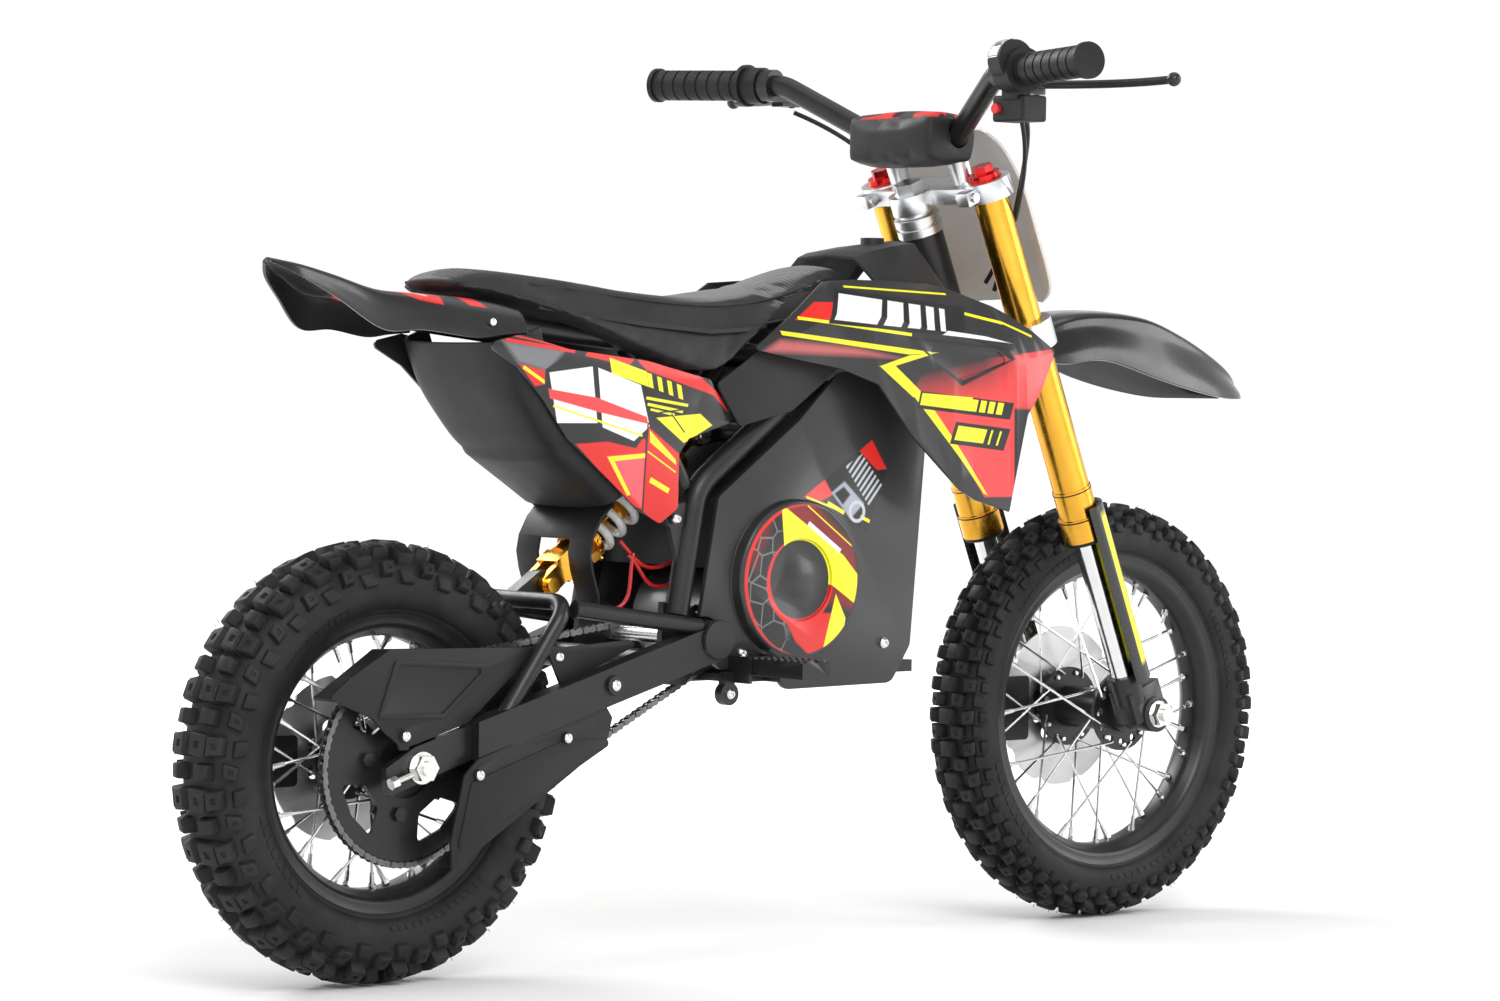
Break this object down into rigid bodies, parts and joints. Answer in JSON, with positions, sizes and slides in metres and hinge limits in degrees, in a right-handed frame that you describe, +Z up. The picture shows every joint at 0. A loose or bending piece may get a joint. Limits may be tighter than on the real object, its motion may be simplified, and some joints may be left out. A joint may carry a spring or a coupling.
{
  "type": "child's electric crossbike",
  "caption": "Child's ride-on electric crossbike: spoked wheels with knobby tyres, telescopic fork, chain-driven swingarm on one shock, long seat and graphic side panels.",
  "frame": {"origin": "on the ground under the middle of the overall length, on the bike's centre plane", "axes": "+X forward along the bike, +Y to the rider's left across the handlebar, +Z up"},
  "size_m": [1.377, 0.674, 0.9034],
  "materials": {
    "frame_paint": "satin black powder coat over welded steel tube",
    "black_paint": "satin black paint",
    "spring_paint": "gloss white paint on spring steel",
    "case_plastic": "grained dark grey polypropylene",
    "cover_plastic": "dark grey moulding with printed red, yellow and black film",
    "graphic_plastic": "moulding with printed red, yellow, white and black film",
    "fender_plastic": "gloss black polypropylene",
    "plate_plastic": "light grey polypropylene",
    "red_plastic": "moulded red",
    "cell_wrap": "shrink wrapped cell pack",
    "seat_vinyl": "grained black vinyl",
    "pad_vinyl": "black vinyl over foam",
    "grip_rubber": "moulded soft rubber",
    "flap_rubber": "moulded sheet rubber",
    "cable_rubber": "black cable sleeve",
    "tyre": "knobby off-road tread",
    "silver_alloy": "bead blasted and clear anodised",
    "motor_alloy": "machined motor can",
    "gold_alloy": "gold anodised",
    "red_alloy": "red anodised",
    "zinc_steel": "bright zinc plate",
    "spoke_steel": "bright stainless wire",
    "disc_steel": "ground stainless",
    "sprocket_steel": "machined steel",
    "chain_steel": "oiled roller chain",
    "hard_chrome": "hard chrome"
  },
  "bodies": {
    "frame": {"frame_main": "frame_paint", "battery_case": "case_plastic", "side_covers": "cover_plastic", "battery_pack": "cell_wrap", "motor": "motor_alloy", "headset_cups": "silver_alloy", "pivot_bolts": "zinc_steel", "seat_cushion": "seat_vinyl", "seat_base": "case_plastic", "tank_cover": "seat_vinyl", "shrouds": "graphic_plastic", "frame_panels": "case_plastic", "number_panels": "graphic_plastic", "rear_fender": "graphic_plastic", "inner_fender": "case_plastic", "mud_flap": "flap_rubber", "cover_screws": "zinc_steel"},
    "steering": {"steering_stem": "silver_alloy", "upper_clamp": "silver_alloy", "fork_outer_tubes": "gold_alloy", "fork_caps": "red_alloy", "handlebar": "black_paint", "bar_pad": "pad_vinyl", "grip_left": "grip_rubber", "throttle_housing": "case_plastic", "lever_perches": "black_paint", "control_cables": "cable_rubber", "front_number_plate": "plate_plastic", "front_fender": "fender_plastic"},
    "kill_switch": {"kill_button": "red_plastic"},
    "right_lever": {"brake_lever_right": "black_paint"},
    "left_lever": {"brake_lever_left": "black_paint"},
    "throttle": {"twist_grip": "grip_rubber"},
    "right_peg": {"peg_right": "black_paint"},
    "left_peg": {"peg_left": "black_paint"},
    "countershaft": {"drive_sprocket": "sprocket_steel"},
    "shock_upper": {"shock_body": "gold_alloy", "shock_spring": "spring_paint"},
    "shock_lower": {"shock_rod": "gold_alloy"},
    "fork_lower": {"fork_inner_tubes": "hard_chrome", "fork_lugs": "black_paint", "fork_guards": "fender_plastic", "front_axle": "zinc_steel", "front_caliper": "black_paint"},
    "front_wheel": {"front_hub": "black_paint", "front_rim": "black_paint", "front_spokes": "spoke_steel", "front_tyre": "tyre", "front_disc": "disc_steel"},
    "rear_arm": {"swingarm": "frame_paint", "chain_guards": "case_plastic", "rear_axle": "zinc_steel", "rear_caliper": "black_paint", "chain": "chain_steel"},
    "rear_wheel": {"rear_hub": "black_paint", "rear_rim": "black_paint", "rear_spokes": "spoke_steel", "rear_tyre": "tyre", "rear_disc": "disc_steel", "rear_sprocket": "black_paint"}
  },
  "joints": [
    {"name": "steering", "type": "hinge", "parent": "frame", "child": "steering", "pos_m": [0.2564, 0, 0.6], "axis": [-0.3795, 0, 0.9252], "range_deg": [-38, 38]},
    {"name": "fork_slide", "type": "slide", "parent": "steering", "child": "fork_lower", "axis": [-0.3795, 0, 0.9252], "range_m": [0, 0.08], "stiffness_N_per_m": 6500, "springref_m": -0.01},
    {"name": "front_wheel_spin", "type": "hinge", "parent": "fork_lower", "child": "front_wheel", "pos_m": [0.4685, 0, 0.22], "axis": [0, 1, 0], "continuous": true},
    {"name": "swingarm_pivot", "type": "hinge", "parent": "frame", "child": "rear_arm", "pos_m": [-0.153, 0, 0.317], "axis": [0, 1, 0], "range_deg": [0, 9], "stiffness_Nm_per_rad": 1400, "springref_deg": -2.86},
    {"name": "rear_wheel_spin", "type": "hinge", "parent": "rear_arm", "child": "rear_wheel", "pos_m": [-0.4815, 0, 0.207], "axis": [0, 1, 0], "continuous": true, "deforming": ["chain"]},
    {"name": "drive_sprocket_spin", "type": "hinge", "parent": "frame", "child": "countershaft", "pos_m": [-0.075, 0, 0.332], "axis": [0, 1, 0], "continuous": true},
    {"name": "shock_pivot", "type": "hinge", "parent": "frame", "child": "shock_upper", "pos_m": [-0.104, 0, 0.511], "axis": [0, 1, 0], "range_deg": [0, 3]},
    {"name": "shock_slide", "type": "slide", "parent": "shock_upper", "child": "shock_lower", "axis": [0.7813, 0, 0.6242], "range_m": [0, 0.0205], "deforming": ["shock_spring"]},
    {"name": "brake_lever_right", "type": "hinge", "parent": "steering", "child": "right_lever", "pos_m": [0.19, -0.184, 0.862], "axis": [0, 0, -1], "range_deg": [0, 18], "stiffness_Nm_per_rad": 0.9, "springref_deg": -8.59},
    {"name": "brake_lever_left", "type": "hinge", "parent": "steering", "child": "left_lever", "pos_m": [0.19, 0.184, 0.862], "axis": [0, 0, 1], "range_deg": [0, 18], "stiffness_Nm_per_rad": 0.9, "springref_deg": -8.59},
    {"name": "throttle_twist", "type": "hinge", "parent": "steering", "child": "throttle", "pos_m": [0.13681, -0.25769, 0.87494], "axis": [-0.2118, -0.9769, 0.0294], "range_deg": [0, 70], "stiffness_Nm_per_rad": 0.25, "springref_deg": -11.46},
    {"name": "kill_button_press", "type": "slide", "parent": "steering", "child": "kill_switch", "axis": [1, 0, 0], "range_m": [0, 0.0015], "stiffness_N_per_m": 900, "springref_m": -0.0005},
    {"name": "peg_fold_right", "type": "hinge", "parent": "frame", "child": "right_peg", "pos_m": [-0.1, -0.112, 0.291], "axis": [-1, 0, 0], "range_deg": [0, 75], "stiffness_Nm_per_rad": 1.2, "springref_deg": -17.19},
    {"name": "peg_fold_left", "type": "hinge", "parent": "frame", "child": "left_peg", "pos_m": [-0.1, 0.112, 0.291], "axis": [1, 0, 0], "range_deg": [0, 75], "stiffness_Nm_per_rad": 1.2, "springref_deg": -17.19}
  ],
  "couplings": [
    {"joint": "drive_sprocket_spin", "follows": "rear_wheel_spin", "ratio": 4.8},
    {"joint": "shock_pivot", "follows": "swingarm_pivot", "ratio": 0.2867},
    {"joint": "shock_slide", "follows": "swingarm_pivot", "m_per_rad": 0.1246}
  ]
}
